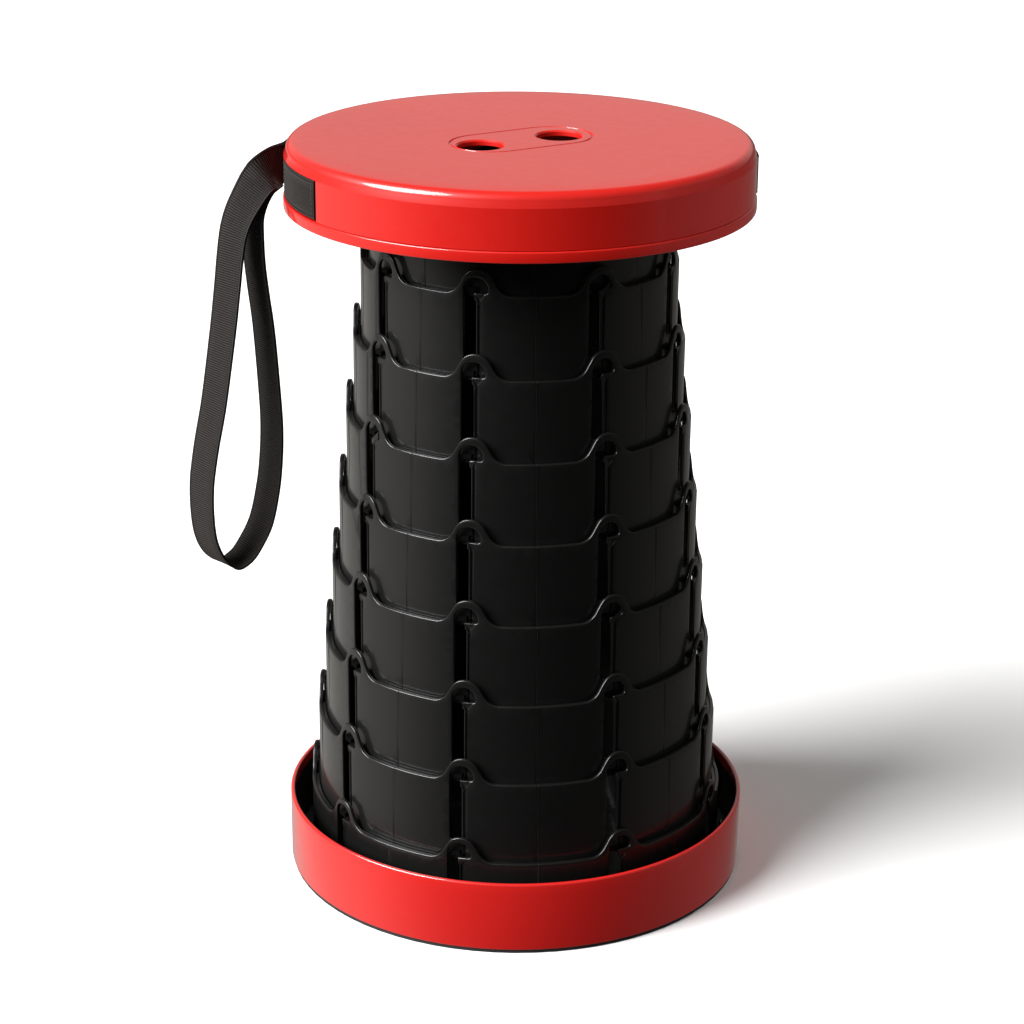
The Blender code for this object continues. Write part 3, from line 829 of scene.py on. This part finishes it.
def make_seat(finish):
    """The cap: its revolved edge and skirt, its top with the finger holes, and its underside."""
    top = Vector(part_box("seat_panel")[1]).z
    angles = even_turns(SEAT_SIDES)
    angles = [a for a in angles if min(abs(a - r) for r in RECESS) > math.radians(0.4)]
    angles = sorted(angles + [RECESS[0] - 1e-3, RECESS[0], RECESS[1], RECESS[1] + 1e-3])
    work = bmesh.new()
    loops = revolve(work, seat_section(top), angles, closed=False)
    rim = [(SEAT_RADIUS - SEAT_SHOULDER - SEAT_EDGE) * Vector((math.cos(a), math.sin(a))) for a in angles]
    add_seat_top(work, [tuple(p) for p in rim], top)
    inner = [tuple(loop[-1].co.xy) for loop in loops]
    walls = [circle(centre, FINGER_RADIUS, HOLE_SIDES) for centre in FINGER_HOLES]
    flat, triangles = fill_plane(inner, walls, (), (20 * MM, 20 * MM), 6 * MM)
    verts = [work.verts.new((x, y, top - PANEL_THICK)) for x, y in flat]
    for corners in triangles:
        work.faces.new([verts[c] for c in reversed(corners)])
    add_finger_walls(work, top, top - PANEL_THICK)
    bmesh.ops.remove_doubles(work, verts=work.verts, dist=2e-6)
    seat = mesh_object("seat_cap", work, finish)
    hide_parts("seat_panel")
    return seat


def make_band(finish):
    """The band under the cap, with its rounded ledge and the tongue behind the skirt."""
    low, high = (Vector(corner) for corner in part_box("seat_band"))
    outer = high.x
    inner = SEAT_RADIUS - SKIRT_WALL - TONGUE_SET_IN
    tongue = inner + TONGUE_WIDE
    foot_centre = (outer - BAND_FOOT_ROUND, low.z + BAND_FOOT_ROUND)
    ledge_centre = (outer - BAND_LEDGE_ROUND, BAND_HIGH - BAND_LEDGE_ROUND)
    section = arc(foot_centre, BAND_FOOT_ROUND, -90, 0, 5)
    section += arc(ledge_centre, BAND_LEDGE_ROUND, 0, 90, 7)
    section += [(tongue, BAND_HIGH), (tongue, high.z - TONGUE_CHAMFER), (tongue - TONGUE_CHAMFER, high.z)]
    section += [(inner + TONGUE_CHAMFER, high.z), (inner, high.z - TONGUE_CHAMFER)]
    section += [(inner, low.z + BAND_INNER_CHAMFER), (inner + BAND_INNER_CHAMFER, low.z)]
    work = bmesh.new()
    revolve(work, lambda angle: section, even_turns(SEAT_SIDES))
    band = mesh_object("seat_rim", work, finish)
    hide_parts("seat_band")
    return band


# ---------------------------------------------------------------- base


TRAY_WALL = 2.6 * MM
TRAY_FLOOR = 3.2 * MM
TRAY_FOOT_ROUND = 1.2 * MM
TRAY_INSIDE = 6.0 * MM
TRAY_MIDDLE = 0.5 * MM


def make_tray(finish, floor_finish):
    """The base's cup, its inside black from a little below the rim."""
    low, high = (Vector(corner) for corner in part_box("base_tray"))
    outer, inner = high.x, high.x - TRAY_WALL
    foot_centre = (outer - TRAY_FOOT_ROUND, low.z + TRAY_FOOT_ROUND)
    rim_centre = (outer - TRAY_WALL / 2, high.z - TRAY_WALL / 2)
    section = [(TRAY_MIDDLE, low.z), (outer - TRAY_FOOT_ROUND - 0.2 * MM, low.z)]
    section += arc(foot_centre, TRAY_FOOT_ROUND, -80, 0, 5)
    section += [(outer, high.z - TRAY_INSIDE)]
    section += arc(rim_centre, TRAY_WALL / 2, 0, 180, 9)
    section += [(inner, high.z - TRAY_INSIDE), (inner, TRAY_FLOOR + 2 * MM)]
    section += [(inner - 0.6 * MM, TRAY_FLOOR + 0.6 * MM), (inner - 2 * MM, TRAY_FLOOR)]
    section += [(TRAY_MIDDLE, TRAY_FLOOR)]
    work = bmesh.new()
    revolve(work, lambda angle: section, even_turns(SEAT_SIDES))
    tray = mesh_object("base_cup", work, finish)
    tray.data.materials.append(floor_finish)
    for face in tray.data.polygons:
        faces_in = face.normal.dot((*face.center.xy, 0)) < -1e-6
        inner_wall = faces_in and face.center.z < high.z - TRAY_INSIDE
        if inner_wall or abs(face.center.z - TRAY_FLOOR) < 0.1 * MM:
            face.material_index = 1
    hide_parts("base_tray")
    return tray


# ---------------------------------------------------------------- strap


def smooth_rows(rows, per_span):
    """A Catmull-Rom curve through rows of numbers."""
    points = [Vector(row) for row in rows]
    padded = [2 * points[0] - points[1], *points, 2 * points[-1] - points[-2]]
    made = []
    for a, b, c, d in zip(padded, padded[1:], padded[2:], padded[3:]):
        for i in range(per_span):
            t = i / per_span
            square, cube = 2 * a - 5 * b + 4 * c - d, 3 * b - a - 3 * c + d
            made.append(0.5 * (2 * b + (c - a) * t + square * t**2 + cube * t**3))
    made.append(points[-1])
    return made


def even_rows(rows, step):
    """The same curve with rows at even distances."""
    lengths = [0.0]
    for a, b in zip(rows, rows[1:]):
        lengths.append(lengths[-1] + (b.to_3d() - a.to_3d()).length)
    count = round(lengths[-1] / step)
    made, j = [], 0
    for i in range(count + 1):
        want = lengths[-1] * i / count
        while j < len(rows) - 2 and lengths[j + 1] < want:
            j += 1
        share = (want - lengths[j]) / (lengths[j + 1] - lengths[j])
        made.append(rows[j].lerp(rows[j + 1], share))
    return made, lengths[-1]


def webbing_section(wave):
    """The webbing's outline as (across, out) points, its ribs raised by wave between the selvedges."""
    half, thick = STRAP_WIDE / 2, STRAP_THICK / 2
    face = thick - RIB_HIGH + RIB_HIGH * wave
    inner = half - SELVEDGE
    side = [(-half + EDGE_ROUND, thick), (-inner - 0.3 * MM, thick)]
    side += [(-inner, thick - 0.25 * MM), (-inner + 0.3 * MM, face)]
    middle = [(-inner / 2, face), (0.0, face), (inner / 2, face)]
    upper = side + middle + [(-x, y) for x, y in reversed(side)]
    around = upper + [(half, thick - EDGE_ROUND), (half, -thick + EDGE_ROUND)]
    around += [(x, -y) for x, y in reversed(upper)]
    return around + [(-half, -thick + EDGE_ROUND), (-half, thick - EDGE_ROUND)]


def webbing_finish(across, along):
    """Which finish a face of the webbing has: crests and selvedges its own colour, grooves and edges a
    darker copy that is painted shade.
    """
    place = across % WEBBING_POINTS
    selvedge, ribbed = place in (0, 9), 3 <= place <= 6
    on_crest = along % RIB_STEPS in (1, 2)
    return CREST if selvedge or (ribbed and on_crest) else GROOVE_SHADE


def webbing(work, stations):
    """A ribbed strap through stations of (middle, width direction, face direction)."""
    loops = []
    for i, (middle, wide, face) in enumerate(stations):
        wave = 0.5 - 0.5 * math.cos(2 * math.pi * i / RIB_STEPS)
        loops.append([work.verts.new(middle + wide * x + face * y) for x, y in webbing_section(wave)])
    count = len(loops[0])
    for i, (here, there) in enumerate(zip(loops, loops[1:])):
        for j in range(count):
            after = (j + 1) % count
            face = work.faces.new((here[j], there[j], there[after], here[after]))
            face.material_index = webbing_finish(j, i)
    # The cut ends take the darker finish too, as painted shade.
    for cut in (list(reversed(loops[0])), loops[-1]):
        work.faces.new(cut).material_index = GROOVE_SHADE


def make_loop(finishes):
    """The hanging loop, along its route from one sewn end to the other."""
    rows, length = even_rows(smooth_rows(LOOP_ROUTE, 12), RIB_PITCH / RIB_STEPS)
    stations = []
    for i, row in enumerate(rows):
        share = i / (len(rows) - 1)
        turn = FRONT_LEG_TURN + (BACK_LEG_TURN - FRONT_LEG_TURN) * share
        lean = math.radians(row[3])
        level = Vector((math.cos(turn), -math.sin(turn), 0))
        wide = level * math.cos(lean) + Vector((0, 0, -math.sin(lean)))
        along = (rows[min(i + 1, len(rows) - 1)] - rows[max(i - 1, 0)]).to_3d().normalized()
        wide = (wide - along * wide.dot(along)).normalized()
        stations.append((row.to_3d(), wide, along.cross(wide)))
    work = bmesh.new()
    webbing(work, stations)
    loop = mesh_object("carry_loop", work, finishes[CREST], 60)
    loop.data.materials.append(finishes[GROOVE_SHADE])
    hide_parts("strap_loop")
    return loop


def make_run(name, node, start, end, finishes, proud=0.0):
    """A run of the webbing in the skirt's recess."""
    low, high = (Vector(corner).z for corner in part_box(node))
    radius = SEAT_RADIUS - STRAP_THICK / 2 + proud
    stations = []
    for angle in even_steps(start, end, RIB_PITCH / RIB_STEPS / radius):
        out = on_circle(1, angle, 0)
        stations.append((on_circle(radius, angle, (low + high) / 2), Vector((0, 0, -1)), out))
    work = bmesh.new()
    webbing(work, stations)
    run = mesh_object(name, work, finishes[CREST], 60)
    run.data.materials.append(finishes[GROOVE_SHADE])
    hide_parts(node)
    return run


def add_stitch(work, middle, along, out):
    """One stitch: a short thread that tapers at its ends."""
    side = along.cross(out)
    loops = []
    for station in range(7):
        share = -1 + station / 3
        size = THREAD_ROUND * math.sqrt(max(1 - share**4, 0.04))
        centre = middle + along * share * STITCH_LONG / 2
        loop = []
        for turn in range(THREAD_SIDES):
            a = 2 * math.pi * turn / THREAD_SIDES
            loop.append(work.verts.new(centre + side * size * math.cos(a) + out * size * math.sin(a)))
        loops.append(loop)
    for here, there in zip(loops, loops[1:]):
        for j in range(THREAD_SIDES):
            after = (j + 1) % THREAD_SIDES
            work.faces.new((here[j], there[j], there[after], here[after]))
    work.faces.new(loops[0])
    work.faces.new(list(reversed(loops[-1])))


def make_stitches(name, route, finish):
    """Thread stitches laid along a route of (angle, z, upright) on the webbing's face."""
    work = bmesh.new()
    for angle, z, upright in route:
        middle = on_circle(SEAT_RADIUS + THREAD_PROUD, angle, z)
        level = Vector((-math.sin(angle), math.cos(angle), 0))
        add_stitch(work, middle, Vector((0, 0, 1)) if upright else level, on_circle(1, angle, 0))
    made = mesh_object(name, work, finish, 80)
    return made


def box_stitch(start, end, low, high):
    """The stitched frame: rows along the top and the bottom, and one up each end."""
    route = []
    for angle in even_steps(start, end, STITCH_PITCH / SEAT_RADIUS)[1:-1]:
        route += [(angle, low, False), (angle, high, False)]
    for z in even_steps(low, high, STITCH_PITCH):
        route += [(start, z, True), (end, z, True)]
    return route


# ---------------------------------------------------------------- assembly


def add_strap_loop(webbings):
    """The loop, carried by the seat."""
    loop = make_loop(webbings)
    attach(loop, "seat")
    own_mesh(loop)


def add_seat():
    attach(make_seat(moulded("seat_red", SEAT_RED, 0.42, coat=0.9, shine=0.4)), "seat")
    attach(make_band(moulded("band_red", SEAT_RED, 0.4, coat=0.9, shine=0.4)), "seat")


def add_base_and_rings():
    black = moulded("ring_black", RING_BLACK, 0.38, grain_scale=1300.0, grain=0.12, coat=0.45, shine=0.35)
    red = moulded("base_red", BASE_RED, 0.34, coat=1.0, shine=0.4)
    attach(make_tray(red, black), "base")
    # The lugs' dull, darker black is painted shade for the slots' pockets.
    dull = moulded("lug_painted_shade", LUG_PAINTED_SHADE, 0.9, grain_scale=1300.0, grain=0.12, shine=0.05)
    for number in range(1, RINGS + 1):
        body = {1: "seat", RINGS: "base"}.get(number, f"tube_{number}")
        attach(make_ring(number, black, dull), body)


def add_strap_runs(webbings):
    """The runs of the strap in the recess, and their stitching."""
    thread = moulded("thread", THREAD_GREY, 0.7, grain_scale=2000.0, grain=0.4)
    rear_from, rear_to = (math.radians(angle) for angle in REAR_RUN)
    end_from, end_to = (math.radians(angle) for angle in END_RUN)
    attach(make_run("strap_rear", "strap_band", rear_from, rear_to, webbings, REAR_PROUD), "seat")
    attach(make_run("strap_end", "strap_patch", end_from, end_to, webbings), "seat")
    low, high = (Vector(corner).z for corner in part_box("strap_patch"))
    low, high = low + STITCH_INSET, high - STITCH_INSET
    end_frame = box_stitch(end_from + 0.03, end_to - 0.022, low, high)
    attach(make_stitches("end_stitches", end_frame, thread), "seat")
    rear_frame = box_stitch(math.radians(REAR_FRAME[0]), math.radians(REAR_FRAME[1]), low, high)
    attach(make_stitches("rear_stitches", rear_frame, thread), "seat")


def finish_small_parts():
    """Gives the screws and the foot ring, whose CAD shapes stay, their materials."""
    steel = metal_material()
    rubber = moulded("foot_rubber", RUBBER_BLACK, 0.75, grain_scale=600.0, grain=0.5)
    for node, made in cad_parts.items():
        finish = steel if "screw" in node else rubber if node == "foot_ring" else None
        if finish:
            made.data.materials.clear()
            made.data.materials.append(finish)


def main():
    add_camera()
    webbings = (
        webbing_material("webbing_crest", (0.022, 0.019, 0.017), (0.037, 0.032, 0.0285)),
        # The groove finish is the crest finish darkened about seven times: painted shade.
        webbing_material("webbing_groove_painted_shade", (0.003, 0.0026, 0.0024), (0.006, 0.0052, 0.0048)),
    )
    add_strap_loop(webbings)
    add_studio()
    add_seat()
    add_base_and_rings()
    add_strap_runs(webbings)
    finish_small_parts()


main()
